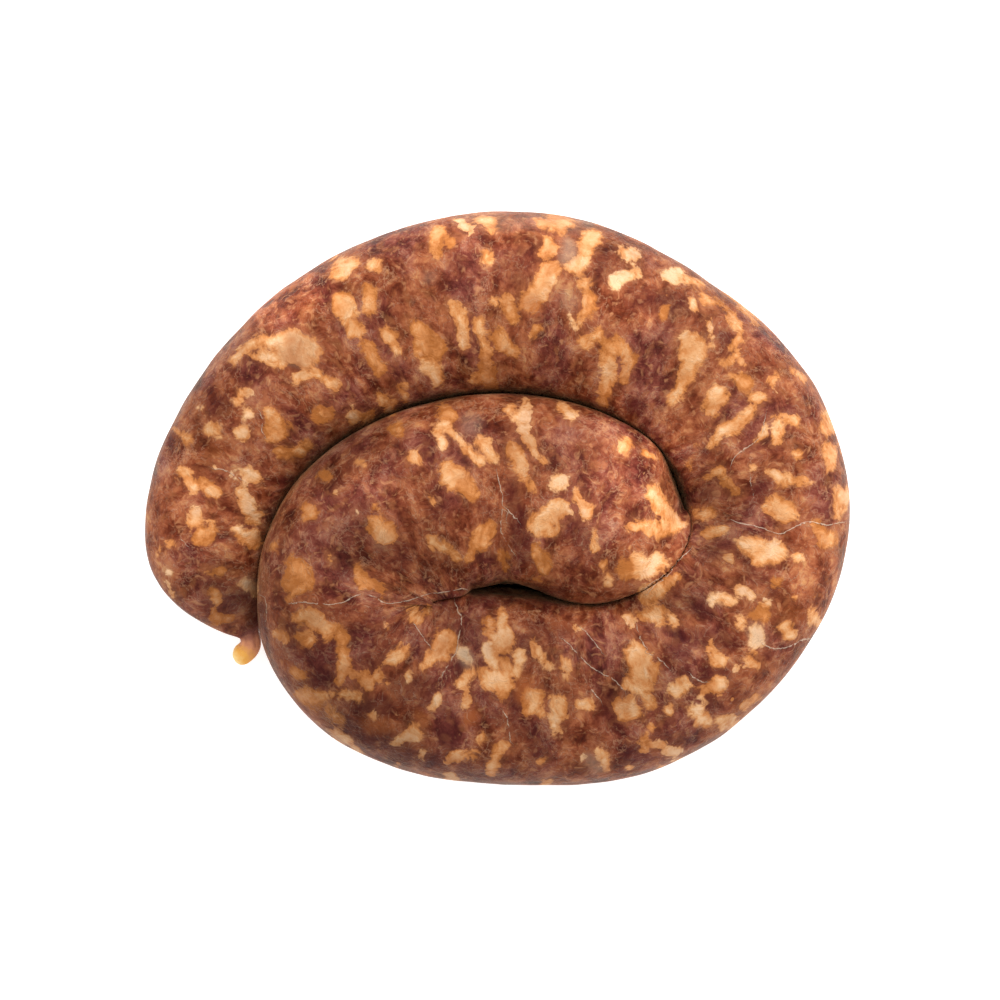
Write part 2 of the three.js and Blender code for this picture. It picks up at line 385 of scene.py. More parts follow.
# %% The casing's mesh
def casing_mesh(points, first_tip, last_tip):
    """A closed mesh from rings of points, with a tip before the first and after the last."""
    rings, around = points.shape[:2]
    vertices = np.vstack([points.reshape(-1, 3), [first_tip, last_tip]])
    corner = np.arange(rings * around).reshape(rings, around)
    turned = np.roll(corner, -1, axis=1)
    quads = np.stack([corner[:-1], turned[:-1], turned[1:], corner[1:]], axis=-1)
    first, last = rings * around, rings * around + 1
    faces = quads.reshape(-1, 4).tolist()
    faces += [[first, b, a] for a, b in zip(corner[0].tolist(), turned[0].tolist())]
    faces += [[last, a, b] for a, b in zip(corner[-1].tolist(), turned[-1].tolist())]
    made = bpy.data.meshes.new("sausage_casing")
    made.from_pydata(vertices.tolist(), [], faces)
    return made


skin_mm = skin[1:-1]
own_middle = (skin_mm.min(axis=(0, 1)) + skin_mm.max(axis=(0, 1))) / 2
solid_middle = 1000 * (np.array(low_corner) + np.array(high_corner)) / 2
shift = np.array([solid_middle[0] - own_middle[0], solid_middle[1] - own_middle[1], 0.0])
tips = np.array([middle[0], middle[-1]])
mesh = casing_mesh((skin_mm + shift) / 1000, *((tips + shift) / 1000))
casing = bpy.data.objects.new("coiled_sausage_casing", mesh)
bpy.context.collection.objects.link(casing)
mesh.shade_smooth()
print("skin, mm:", np.round(skin_mm.max(axis=(0, 1)) - skin_mm.min(axis=(0, 1)), 1).tolist())
print("faces:", len(mesh.polygons))

# %% The flat map
UNDERSIDE = 0.75
MARGIN = 0.01
around_share = (np.arange(FACES_AROUND) / FACES_AROUND - UNDERSIDE) % 1
along_share = along[1:-1] / LENGTH


def on_map(length_share, side_share, second_half):
    """A place on the map: the first half of the sausage in the lower strip, the other above."""
    across = MARGIN + (1 - 2 * MARGIN) * (2 * length_share - second_half)
    upwards = MARGIN + (0.5 - 2 * MARGIN) * side_share + 0.5 * second_half
    return np.stack([across, upwards], axis=-1)


low_side = np.broadcast_to(around_share, (RINGS - 3, FACES_AROUND))
high_side = low_side + 1 / FACES_AROUND
low_end = np.broadcast_to(along_share[:-1, None], low_side.shape)
high_end = np.broadcast_to(along_share[1:, None], low_side.shape)
half = (low_end > 0.5).astype(float)
flat = [
    on_map(low_end, low_side, half),
    on_map(low_end, high_side, half),
    on_map(high_end, high_side, half),
    on_map(high_end, low_side, half),
]
flat = [np.stack(flat, axis=2).reshape(-1, 2)]
sides = around_share, around_share + 1 / FACES_AROUND
point_side = around_share + 0.5 / FACES_AROUND
# one triangle for each side at the first tip, in the lower strip, and at the last, in the upper
for end, tip_end, order in [(along_share[0], 0.0, (1, 0)), (along_share[-1], 1.0, (0, 1))]:
    point = on_map(np.full(FACES_AROUND, tip_end), point_side, tip_end)
    edges = [on_map(np.full(FACES_AROUND, end), sides[k], tip_end) for k in order]
    flat.append(np.stack([point, *edges], axis=1).reshape(-1, 2))
flat = np.vstack(flat)
mesh.uv_layers.new(name="OFBake").data.foreach_set("uv", flat.ravel())
print("flat map corners:", len(flat))

# %% [markdown]
# ## The camera
# The picture was taken from straight above. A long lens would flatten the form and a short one
# would hide the sides of the turns, so the height is the one at which the near and far sides of
# the tube take the places that they have in the picture. The lens then follows from the width
# that the picture spans at the height where the outline is sharpest.

# %% The camera
IMAGE_WIDTH = 240.0
IMAGE_MIDDLE = np.array([0.6, -0.1])
SHARP_HEIGHT = 18.0
CAMERA_HEIGHT = 567.0
SENSOR = 36.0
camera_data = bpy.data.cameras.new("overhead_camera")
camera_data.sensor_width = SENSOR
camera_data.lens = SENSOR * (CAMERA_HEIGHT - SHARP_HEIGHT) / IMAGE_WIDTH
camera = bpy.data.objects.new("overhead_camera", camera_data)
camera_place = IMAGE_MIDDLE + shift[:2]
camera.location = (camera_place[0] / 1000, camera_place[1] / 1000, CAMERA_HEIGHT / 1000)
bpy.context.collection.objects.link(camera)
bpy.context.scene.camera = camera
print("lens, mm:", round(camera_data.lens, 1))

# %% [markdown]
# ## Coarse fat and lean, piece by piece
# The butcher's plate gives this sausage its look: pieces of fat as large as a thumbnail lie among
# lean meat, and each is seen through the casing. Chance patterns from a noise texture have the
# right size, but none of the big pieces would be where the real one has them. So each piece that
# shows from above is one stroke, read from the picture: its two ends, half its width and
# its tone, from 0, cream, to 1, orange. A dot has its place once. All are in the route's
# millimetres.

# %% Pieces of fat on the outer turn
FAT_LEFT = [
    (-50.5, 36.5, -47, 35.5, 4.1, .6), (-52, 33.5, -56.5, 34.3, 1.6, .3),
    (-48, 39, -58, 38, 1.5, .3), (-37.3, 47, -36.3, 44.8, 2.7, .5),
    (-36, 44.5, -33.8, 40.5, 1.4, .55), (-31.3, 50, -30.4, 46, 1.6, .6),
    (-31.4, 36.3, -28, 32, 1.9, .8), (-48, 29.5, -45, 30.5, 1.6, .3),
    (-44.5, 30.5, -38.5, 27.8, 1, .5), (-37.5, 56, -35, 57.5, 1.9, .5), (-38, 54, 1, .3),
    (-31, 56.5, -30, 56, 1, .3), (-61, 25.5, -62.5, 24, 1.3, .3), (-28.5, 25, -26, 22.5, 1.3, .4),
    (-64, 33.5, -58, 38, .9, .4), (-55, 20.4, -53, 16.4, 2.4, .7), (-75.4, 6.6, 1, .3),
    (-74.4, 4.2, -72.4, 2.4, 1.2, .3), (-60.2, 6.6, -59.6, 5.6, 2, .35),
    (-68, 7.6, -62, 4.8, .4, .1), (-60.6, 1.2, -58.6, -3.6, 1.9, .3),
    (-72.4, -5, -71.6, -5.4, 2, .35), (-69.8, -8.2, -69, -7.4, 2, .6),
    (-74.5, 6, -73.6, 2.6, 1.2, .5), (-70.6, 4.4, -68, 1.4, 1.5, .6), (-68.8, -5.6, 1.3, .4),
    (-62.4, -7.2, 1, .3), (-62, -8.8, -58.4, -9.4, 1.7, .5), (-61, 16.4, 1.2, .3),
    (-68.8, 16.6, -68, 16.6, 1.3, .4), (-60.4, 20.4, 1.2, .15), (-62.4, 23.2, 1.2, .3),
    (-72, 22, .8, .2), (-77.4, 16.8, -74.4, 14.4, .9, .5), (-51.4, 10.6, -45.4, 13.2, 1.2, .6),
    (-78.4, -17.6, .7, .2), (-80.8, -12.4, 1, .4), (-79, -11.2, .8, .4),
    (-69.2, -17.4, -66, -17, .9, .6), (-79, -20.5, -77.5, -23, .7, .2),
    (-68, -22, -67.5, -24.5, 1.2, .6), (-60, -20, -58.5, -21.3, 1.3, .35),
    (-68, -28, -64, -28.5, 1.2, .85), (-53.2, -11.2, 1.3, .7),
]
FAT_TOP = [
    (-9.5, 66.3, -7, 64.8, .9, .1), (-6, 67, -2, 66.5, 1.3, .4), (-14, 63, -15, 59.5, 1.6, .6),
    (-11, 62, -11, 61.5, 1.2, .6), (-3, 58.8, -2.2, 57.5, 1.2, .3),
    (-9.7, 45.6, -8.7, 37.4, 1.5, .4), (-4.2, 41.5, -4, 39, 1.1, .5), (-3.8, 38.5, -2.5, 36, 1, .4),
    (-18.8, 40.6, -16.4, 36.8, 2.8, .75), (-16.5, 36.5, -14.8, 37, 1.6, .85),
    (-26, 40, -23.5, 35.5, 1.2, .5), (-16.3, 32, -14.4, 28.6, 1.7, .3),
    (-3, 33.8, -2.2, 29.2, 2, .8), (.4, 38.3, 4, 35.8, 1.8, .7), (2, 48.5, 4.5, 43, 1.2, .6),
    (-1.3, 48.5, -.5, 47, .8, .4), (13, 55.2, 7.6, 47.6, 2.9, .5), (16.5, 66.3, 11.5, 66, 1.9, .55),
    (11.4, 62.2, 12, 60.8, 1.9, .4), (22.8, 63.6, 21, 59.5, 2.2, .35),
    (20.8, 58.6, 18.6, 56, 2, .4), (22, 52, 20.5, 51.5, 1, .4), (22, 48.5, 21, 47.5, 1.4, .55),
    (22, 46, 20, 43, 1.5, .6), (17.5, 44.5, 19, 41.5, .9, .1), (29.5, 59.5, 32.5, 58.5, 1.4, 0),
    (33.6, 54.4, 28.6, 52.3, 1.7, .05), (21, 37, 24.5, 39.5, 1.1, .6), (24.5, 39, 27, 36, 1.6, .6),
    (26.5, 36, 26.5, 28.5, 1.8, .5), (26.5, 28, 25.5, 23.5, 1.2, .5), (29, 38, 31, 33, 1.6, .7),
    (31, 33, 30.5, 29.5, 1.6, .7), (-5.5, 29.5, -6, 28, .6, .4), (-23, 27, -21.5, 25, .8, .5),
    (7, 39, 10, 42, .8, .5), (40, 53.8, 42.4, 53.8, 1.3, .15), (42.4, 53.8, 48, 52, .7, .3),
    (46.9, 58.2, 54, 52, 1, .65), (54, 52, 62, 43, 1.1, .6), (49, 50, 54, 45.4, .7, .6),
    (54, 45.4, 58.5, 41.4, .9, .65), (45.3, 38, 46.3, 36, 3, .4), (46, 34, 45, 29, 2.1, .45),
    (44.5, 29, 43.5, 25.5, 1.9, .5), (41.5, 24, 42, 23, 1, .4), (50.8, 43, 51.2, 36.5, .7, .3),
    (47, 48.5, 47, 46.5, 1, .3), (40.7, 49.5, .8, .4), (40.5, 45.8, 40.3, 44.3, .8, .8),
    (54, 33, 56, 33, .9, .5), (57, 36, 58.5, 32.5, .7, .4), (55, 43, 58.5, 41, .6, .45),
    (58.5, 41, 56, 36.5, .6, .45),
]
FAT_RIGHT = [
    (57.5, 28.5, 60, 28, 1.2, .55), (53, 25, 51.5, 23, 1.5, .4), (67, 30, 66, 28.5, .8, .6),
    (67, 26.5, .6, .1), (70.5, 31.5, 73.5, 28.5, .7, .5), (62, 24, 64, 24, 1.2, .4),
    (61, 21.5, 59, 20, .9, .35), (58.5, 19.5, 56, 17, 1.7, .55), (53.8, 16.2, 51.8, 12.8, 1.4, .3),
    (47.4, 13, .8, .7), (52, 24.4, 51, 21.6, 1.7, .5), (43, 24.8, 1.5, .35),
    (68.2, 18, 67.4, 14, 1.2, .25), (66.6, 19.4, 71.4, 19.2, .9, .5),
    (79.8, 12, 80.2, 7.2, 1.5, .35), (79, 21, 80.2, 16.8, 1, .4), (83, 1.2, 81.8, -3.6, 1.4, .4),
    (65.8, 6.8, 69.8, 4.8, 1, .45), (69.8, 4.8, 75, 4.2, .5, .45), (49.8, 5.2, 53.4, 6.8, .7, .5),
    (54.6, 4, 57.4, 2, 1.3, .75), (65.5, -2.5, 69, -3, 2.3, .55), (67.5, 0, 67, -1, 1.8, .55),
    (47.8, -3.4, 51.4, -2.6, 1.1, .6), (51, -7.6, 54.6, -6.8, 1.5, .55),
    (58.5, -11, 62, -12.2, 1.8, .35), (62, -12.5, 66, -12.5, 2.2, .3),
    (76.6, -6.4, 79, -9.2, 2, .75), (66.2, -20, 67, -20.5, 1.2, .85), (72.2, -13.6, 1, .4),
    (55.8, -15.2, .8, .4), (45.8, 8.6, 1, .6), (64, 16, 62, 14, .8, .3), (71.4, 10.8, 1.2, .5),
    (61.4, 8, 1, .3), (58, -21, 60.5, -23.5, 1.6, .15), (52, -23.5, 55.8, -24, 1.2, .1),
    (65, -25, .7, 0), (75.5, -26.5, 76, -29, 1.2, .3), (71, -23.5, 1, .5), (76, -23, .7, .5),
    (69, -30.5, 70, -32.5, 1.7, .3), (58.8, -29.5, 1, .3), (63.5, -27.5, 62, -28, 1.4, .9),
    (62, -31.5, 62.5, -33.5, 1.6, 0),
]
print("pieces of fat on the outer turn:", len(FAT_LEFT) + len(FAT_TOP) + len(FAT_RIGHT))

# %% Pieces of fat on the bottom turn and the inner lobe
FAT_BOTTOM = [
    (51, -35.5, 53, -38.8, 1.7, .45), (54.8, -38.5, 1, .45), (57.2, -41, 1.4, .15),
    (60, -38.7, 62, -40, 1.1, .35), (62, -36.5, 1.2, .6), (43, -45.8, 45, -43.8, 1.7, .3),
    (50, -45.2, 52.4, -44.6, 2.1, .45), (48, -50.8, 49, -52, 1, .15),
    (49.5, -52.5, 51, -53.5, 1.3, .45), (54, -53.5, 57, -52.5, 1.6, .35),
    (48.4, -47.6, 49.4, -48.8, .35, 0), (41.5, -51, 1, .3), (37.8, -58.5, 42.6, -60.9, 1.2, .1),
    (34.5, -58, 35.3, -60, 1, .6), (37, -55, .8, .5), (31.8, -64.5, 1, .3), (39, -64.5, .9, .5),
    (59, -49.5, 61.5, -47.5, 1, .5), (35, -28, 38.5, -28, 1.5, .55),
    (41.5, -28.5, 42, -29, 1.2, .2), (32, -30, 31.5, -29, 1.2, .2), (32.8, -35.4, 34, -38, 2.4, .4),
    (33.6, -38, 34.2, -43.6, 2.5, .45), (37, -40.5, 36.5, -43, 1.6, .7), (30.5, -44, .9, .3),
    (32, -48, 33.5, -51, 1.4, .45), (34.5, -46, 36.5, -48.5, 1, .6), (29, -48.5, 31, -50, 2, .65),
    (1.1, -27.4, 1.2, -34, 1.8, .45), (-2, -29, -1.5, -33, 1.1, .8),
    (-1.8, -35.5, -1.6, -38.4, 1.7, .15), (-3.5, -41.5, -2, -43, 2.2, .5),
    (-1, -43, 2, -44.6, 2.8, .5), (1, -45.4, 1.2, -46.6, 1.6, .6), (2.5, -41.5, 4.5, -41, 1.5, .35),
    (1, -38.5, 2.5, -40, 1.5, .6), (5.5, -38.2, 5.2, -41.5, 1.4, .15),
    (-8.2, -36.8, -7.5, -38.5, 1.3, 0), (-12.5, -33.3, -14, -37, 2.2, .6),
    (-14, -37, -17.5, -39.5, 1.8, .5), (-7.3, -42.3, -8.3, -44.5, 1.4, .2),
    (-8, -45, -7.5, -49, 1, .4), (9, -47.6, 8.4, -50.2, 1.9, .6), (9.3, -50.3, 10.3, -51.5, 1, .55),
    (15, -49, 15.4, -51.5, 1.7, .5), (14.3, -52.6, 13.8, -55.6, 1.3, .3), (13.5, -47.5, .7, .3),
    (15.8, -39, 16.3, -43.5, 1, .45), (9.5, -36, 12, -40.5, .8, .15), (8, -33, 8.5, -35, .6, .4),
    (18.8, -31, 19.5, -31, .9, .3), (20, -48.5, 22.5, -49.5, 1.3, .45), (21, -62, 21, -64, .8, .05),
    (25.5, -61, 25.8, -64, 1.1, .35), (11.5, -67.8, .9, .3), (10.5, -62.5, .8, .4),
    (6, -64.5, .7, .3), (3, -58.8, .5, -60.5, 1.2, .55), (.3, -60.8, -1.5, -64.5, 1.1, .45),
    (-3.5, -57.5, 1, .35), (-10.5, -62, -8, -61, 1.2, .5), (-7, -61, -5.5, -62, 1, .4),
    (-11.5, -66.5, -10.5, -66.5, 1.1, .3), (-24, -64, .8, .4), (-14.5, -48, -15.5, -50, 1.3, .4),
    (-21, -54.5, -20, -57, 1.5, .3), (-21.5, -56, -25, -58.8, 1.2, .4), (-17.5, -60.5, .9, .2),
    (-20, -26.5, -19, -29, 1.2, .5), (-27, -29.5, 1.2, .4), (-16.8, -27, -16.2, -28, .8, .7),
    (-22.5, -35, -25, -38.8, 1.3, .5), (-27.7, -40, -27.9, -43, 1.3, .5),
    (-22.3, -41.8, -22, -41.8, 1.1, .3), (-44.8, -28, -41.2, -30.8, 2.6, .6),
    (-47.4, -27.8, -43, -29.5, 1.5, .6), (-53, -32.8, -51.5, -33.5, 1.3, .6),
    (-49, -32.5, -45, -34, 1.2, .55), (-38.8, -30.5, -36.8, -34, 1.3, .65),
    (-37, -35.5, -36.4, -39.6, 1.6, .6), (-36.6, -40, -38, -42.8, 1.8, .65),
    (-36.6, -40, -34.2, -42, 1.7, .65), (-31, -43.6, -29.8, -43, 2.4, .55),
    (-28.5, -41.5, -26.5, -39.5, 1, .4), (-48, -41.5, -46.5, -42, 1.2, .8),
    (-47.4, -47, -42.4, -48, 1.6, .75), (-41, -47.5, -36, -46.5, .8, .4),
    (-36, -46.5, -33, -47, .7, .4), (-39.5, -51.5, -37.5, -53, 1.1, .6),
    (-30, -51.2, -28.5, -51.5, 1, .3), (-39.5, -55.5, -37, -58, 1.1, .3),
    (-34.5, -59.8, -32.5, -61, .6, .2), (-49.9, -20.5, -47, -21, 1.8, .85),
    (-50, -23.5, -47, -24, .8, .6), (-31.5, -20, -27.5, -22, 1.9, .8),
]
FAT_LOBE = [
    (-34.8, 20.4, 1.5, .35), (-31.2, 20, 1.2, .5), (-42, 20.4, -41, 20.4, 1.8, .8),
    (-41.6, 5.2, 1.2, .9), (-38.9, 2.1, .7, .2), (-45.2, -2.8, 1.5, .7),
    (-28.8, -6, -26.8, -8.4, 2.6, .75), (-28.8, -2, 1.8, .7), (-48.4, -15.2, -47.6, -20, 2.6, .9),
    (-33.6, -16.5, -32, -19, 1.1, .5), (-39.6, -14.4, .9, .4), (-34.6, -3, -33.8, -4.4, .4, .1),
    (-33.2, 8.8, 1.3, .5), (-12.6, 18.2, -8.2, 14, 1.1, .15), (-8, 14, -4.6, 8.8, .9, .4),
    (-14.2, 17.2, -13.4, 12.8, .9, .25), (-4.2, 14, -1, 9.6, 1.2, .25), (-2.6, 14.4, .8, .3),
    (-11.8, 7, -10.5, 5.5, 2.7, .55), (-9, 4, -6.8, 1.2, 2, .65), (-19.8, 10.4, -18.6, 8.4, 1, .4),
    (-15.4, -.2, 1, .4), (6.2, 22.8, 6.2, 17.2, 1.4, .2), (14.6, 22, 17.4, 20.4, 1.2, .25),
    (3.8, 11.2, 6.6, 5.2, 1.8, .6), (7.4, 14.4, 9, 10.4, 1.1, .35), (11, 8.8, 1, .4),
    (8.2, 2.8, 1.2, .5), (13, 3, 15, 4, 1.2, .1), (14.4, -2.4, 10.5, -6, 2.6, .5),
    (9, -7.2, 12.5, -7.2, 1.5, .35), (19.4, 2, 21, -3.6, 1.5, .3), (17, -3.2, .7, .15),
    (23.4, -8, 23, -12.4, .6, .4), (30.6, 13.2, 1.3, .35), (-15.4, -10, -10.2, -13.2, 1.1, .5),
    (-1.8, -6.4, -4.2, -10, 1.8, .65), (-4.2, -10, -6.2, -13.6, 1.3, .7),
    (.6, -12.8, 1.4, -16.4, 1.1, .8), (9, -12, 10.8, -16.4, 2, .95), (25.4, -15.6, 1.2, .5),
    (27, -19.2, .7, .3), (-24.2, 16.8, 2.3, .9), (-12.2, 20.8, 1.8, .85), (2.6, 22, .8, .3),
    (38, .8, 40.2, -2.6, 2, .35), (40.8, -3, 41.6, -5.6, 2.1, .3), (32, -6, 37, -6.5, 1.2, .4),
    (37, -7, 43, -6.5, 1.8, .35), (44.6, -6.4, 1.4, .05), (34, -16.5, 36.5, -17, 2.2, .3),
    (37, -16, 38.4, -14.6, 1.7, .15), (31, -17, 2, .9), (37, -23, 42, -18.4, 2, .55),
    (31.8, -12, .8, .4), (35.8, 11.2, 37.8, 10, .8, .5),
]
print("pieces of fat on the bottom turn and the lobe:", len(FAT_BOTTOM) + len(FAT_LOBE))

# %% Dark lean and painted crease shade, orange stains, stretches of painted light and shade, grey spots and painted rim sheen, pale threads and painted fold highlights
# the ends, half the width, and a strength; for the broad strokes of painted light and shade, below 0 is
# darker and above 0 lighter
# dark lean, and painted shade in the creases and gaps between turns and beside the pinch on the lobe
DARK_LEAN_AND_SHADE = [
    (-67, 22, -66, 23, 2.5, .6), (-37, -17, 2.2, .6), (-74, -13, 2, .6), (-60, -6.4, 1.2, .6),
    (-50, 5, 2, .7), (-68, -27, -66, -26.5, 3, .6), (-64, -24.5, -62, -24, 2.6, .8),
    (-58, -26, -59, -31, 2, .9), (4, 56, 4.5, .5), (26, 56, 2.6, .5), (-10, 57, 2.5, .5),
    (33, 47.5, 44, 47, 2.6, .6), (54.5, 39, 1.9, 1), (-16.6, 14, 2, .6), (-3.4, -2.8, 1.8, .6),
    (-14.2, -2.8, 2.5, .6), (-25.8, -12.4, -24, -14, 3.6, .6), (17.8, -7.6, 21.4, -9.2, 2, .6),
    (-2.6, -14, 1.6, .6), (3.5, 3, 4.5, -5, 2, .8), (5, -5, 6, -13, 2.2, .8), (33, 22.5, 2.5, 1),
    (50, 11, 1.4, 1), (64, 3, 2.6, .6), (50, 1.5, 2.3, .6), (60, -2, 1.6, .6), (52, -13, 2, .6),
    (60, -15.5, 62, -19, 1.4, .6), (72, 22, 2.8, .5), (-49, -30, 1.4, .8),
    (-48, -37, -42, -36, 2.4, .6), (-43, -43.5, -42, -42.5, 2.5, .9), (-33, -32, -28, -36, 3.2, .6),
    (-33, -49.5, -27, -49.5, 2, .9), (-36, -54, -31, -57, 2.6, .8), (-40, -25.5, -35, -27, 1.8, .5),
    (-26, -37, 2.6, .6), (-23, -45, -18, -45, 2.8, .7), (-11.5, -30, -12, -31, 2.4, .5),
    (-6, -29, -6, -32, 2.4, .6), (-9.3, -40.3, -8.8, -41, 1.5, 1), (4.9, -48.2, 4.9, -49.4, 2, 1),
    (9.5, -31, 15, -32, 2.2, .6), (-12, -57, -12, -58, 2.8, .8), (-17, -62.5, -13, -63, 2, .8),
    (29, -42.3, 29.2, -42.6, 1.4, .9), (10, -58.5, 9, -60, 2.2, .6), (3.5, -64, 1.5, .7),
    (0, -53, -.5, -52, 1.6, .7), (6, -34.5, 6.5, -35.5, 1.8, .7), (44, -24, 50, -26, 2.6, .6),
    (44, -33, 56, -34, 2.2, .7), (42, -36, 44, -37, 2.4, .7), (50, -41, 54.5, -42.5, 1.8, .8),
    (45, -41.5, 46, -43, 1.4, .8), (31.5, -46, 1, .8), (57, -46.5, 58, -45.5, 1.8, .5),
    (34, -62, 33, -61, 2.6, .7), (40, -56.5, 46, -57, 2, .5), (66, -38.5, 67, -38, 2, .4),
    (66, -22.5, 1.2, .8), (48.5, -48, 51, -49.5, 1.2, .7), (-5, -23, 14, -23, 2.2, .6),
    (25, -46, 28, -54, 1.8, .6), (24.5, -54, 22, -60, 2, .3), (-20, -26, -10, -25, 1.5, .4),
    (-3.4, -47.3, -2.6, -47.8, 2, .5), (-30, -28, -24, -31, 2.4, .6), (-42, -38, -38, -38, 2, .7),
    (-46, -44.5, -45, -45, 2, .7), (-20, -33, -18, -37, 1.8, .6), (-22, -48, -18, -48, 2, .6),
    (-27, -57, -22, -62, 2.6, .7), (-12, -51, -11, -53, 2, .7), (-32, -38.5, -30, -39, 1.8, .7),
    (4, -54, 8, -56, 2.2, .6), (-5, -66, 2, -67.5, 2, .5), (-40, -34, -41, -33, 1.8, .6),
    (-50, -36, 1.8, .6), (-14, -26, -12, -27, 2, .6),
]
STAINS = [
    (8, 46.5, 2, 1), (-6.5, -52, -6, -52, 1.6, 1), (-30.5, -54, -27.5, -54, 1.8, .9),
    (-19, -52, -17.5, -53.5, 1.3, .9), (7, -43.5, 6.5, -47, 1.7, .9), (-52, -38, -50, -40, 1.4, .5),
    (-68, 12, -66, 11, 1.6, .4), (14, -30, 16, -30, 1.4, .4), (70, -27, 72, -28, 1.8, .5),
]
# painted light and shade, with some of the lean's own tone: lighter on the sides that face the upper
# right, darker on those that face down and beside the creases
BROAD_LIGHT_AND_SHADE = [
    (-42, -36, -24, -52, 9, -.8), (-34, -52, -22, -60, 5, -.5), (-16, -40, 8, -48, 9, -.5),
    (18, -44, 34, -42, 7, -.5), (-10, -60, 30, -58, 5, -.4), (-32, -8, -16, -12, 6, -.8),
    (-42, 8, -30, 15, 5, -1), (-64, -21, -50, -26, 6, -1), (27, 2, 40, -12, 7, .9),
    (-53, 46, -44, 51, 5, 1), (-8, 63, 18, 61, 4, .5), (27, 47, 34, 46, 4, 1),
    (40, 36, 46, 36, 4, -.3), (64, 36, 76, 12, 5, .35), (77, -2, 76, -20, 5, .4),
    (-74, 2, -77, -12, 5, .5), (28, 22, 40, 12, 5, .8), (-55, -40, -40, -57, 3, -.5),
    (-40, -57, -8, -69, 3, -.5), (-24, 66, 12, 69, 3, .5), (-32, 56, -24, 60, 5, .3),
    (-8, 57, 10, 57, 4, .5), (-74, 26, -72, 18, 4, -.6), (52, 2, 53, -12, 4, -1),
    (-52, -8, -34, -12, 6, -.55), (-74, -20, -66, -24, 5, -.35), (-20, -22, -12, -23, 3.5, -.8),
    (38, -24, 46, -23, 4, -.85), (-6, -33, 8, -34, 5, -.75), (-42, -44, -36, -48, 4, -.7),
    (32, -46, 42, -46, 5, -.6), (-8, -69, 16, -69, 3, -.7), (-64, 12, -40, 12, 5, -.3),
    (-64, 35, -60, 36, 4, -.3), (-18, 0, -16, -11, 4, -.3), (30, 12, 40, 2, 5, .55),
    (66, -10, 78, -24, 5, .25), (62, -36, 68, -40, 4, .2), (-54, 44, -48, 48, 3.5, .6),
    (-30, 2, -26, -2, 4, .45), (5, 12, 8, 12, 4, -.45), (44, 12, 62, 14, 5, .2),
    (48, -58, 58, -52, 3, -.35),
]
# grey spots, and painted sheen in bands along the top rims
GREY_SPOTS_AND_RIM_SHEEN = [
    (16.8, 62, 16.8, 58.5, 1.6, .8), (17, 47.5, 1.8, .35), (-6.2, 18.8, 2.6, .4),
    (-16.2, 53.9, 1.5, .3), (-50, 36.5, -47, 35.5, 3.6, .35), (-8.2, -36.8, -7.5, -38.5, 1.4, .9),
    (62, -31.5, 62.5, -33.5, 1.6, .5), (22.5, -62.5, 24, -64, 1.2, .6),
    (-59.8, -20.2, -58.5, -21.3, 1.2, .6), (-8, 67, 22, 67, 2, .25), (50, 55, 62, 45, 2, .2),
]
# points along each pale line: threads, and painted highlights along the ridges of folds and creases
PALE_THREADS_AND_FOLD_HIGHLIGHTS = [
    [(.5, 6), (1.2, 3), (1, 0), (1, -3), (.8, -6), (1.5, -9), (3.3, -12.5)],
    [(2.6, -2.4), (3.4, -3.8), (4.6, -5.2)],
    [(-67.5, 7.3), (-65.3, 6.9), (-63, 5.5), (-61.5, 4.8)],
    [(-57.5, 20), (-56.7, 18.5), (-57.5, 17), (-55.8, 15.5)],
    [(-76, -9.5), (-75, -10.5)],
    [(57, -5), (59.5, -6), (62, -7), (65, -8.5), (67.5, -8.8), (70, -7.5), (74, -6), (78, -5), (83, -5.5)],
    [(60.5, 5), (60.5, 3), (61.3, 1)],
    [(64.5, 19), (63.5, 15), (57, 11), (56.5, 8.5)],
    [(39, -18), (36, -22)],
    [(-9.8, -25), (-9, -27), (-8.7, -29), (-8.8, -31), (-9.3, -33.5), (-10, -36), (-11, -38), (-14, -43)],
    [(-19.5, -30), (-18, -32.5), (-16.3, -34.5)],
    [(1.5, -51), (2.8, -52.5), (3.2, -55), (4, -58)],
    [(16.5, -34), (20, -37), (24, -40.5), (27.5, -43), (30, -45.5)],
    [(22, -45), (24, -48)],
    [(20, -31), (25, -36)],
    [(33.5, -31), (34.5, -33.5), (35.5, -35)],
    [(36, -36.5), (38.5, -38), (41, -40)],
    [(64, -34.5), (67, -35.8), (70, -35.8), (73, -34), (75, -33.3)],
    [(47, -41.8), (49, -43)],
    [
        (-49, -24.6), (-42, -24.8), (-37, -24.5), (-34, -23.6), (-32, -23.4),
        (-29, -24), (-26, -24.8), (-20, -23.6), (-14, -22.3), (-8, -21.2),
    ],
    [(46, -12.5), (42.5, -15), (39, -19), (37, -22.5)],
    [(-55.8, -23.8), (-55, -25.5), (-55.8, -28.5)],
]
print("threads:", len(PALE_THREADS_AND_FOLD_HIGHLIGHTS))

# %% [markdown]
# ## From strokes to numbers on the skin
# A material can't read a list of strokes, but it can read numbers stored with the mesh's points.
# Points lie 0.8 mm apart, which is too coarse for a crisp painted edge. A distance is smooth,
# though, so what is stored is how far inside the nearest piece each point lies: between points
# Blender blends it evenly, and the material draws the sharp, ragged edge where it crosses zero.

# %% Where each point of the skin shows from above
place = np.empty(3 * len(mesh.vertices))
mesh.vertices.foreach_get("co", place)
place = 1000 * place.reshape(-1, 3) - shift
normal = np.empty(3 * len(mesh.vertices))
mesh.vertices.foreach_get("normal", normal)
normal = normal.reshape(-1, 3)
magnified = (CAMERA_HEIGHT - SHARP_HEIGHT) / (CAMERA_HEIGHT - place[:, 2])
shown = IMAGE_MIDDLE + (place[:, :2] - IMAGE_MIDDLE) * magnified[:, None]
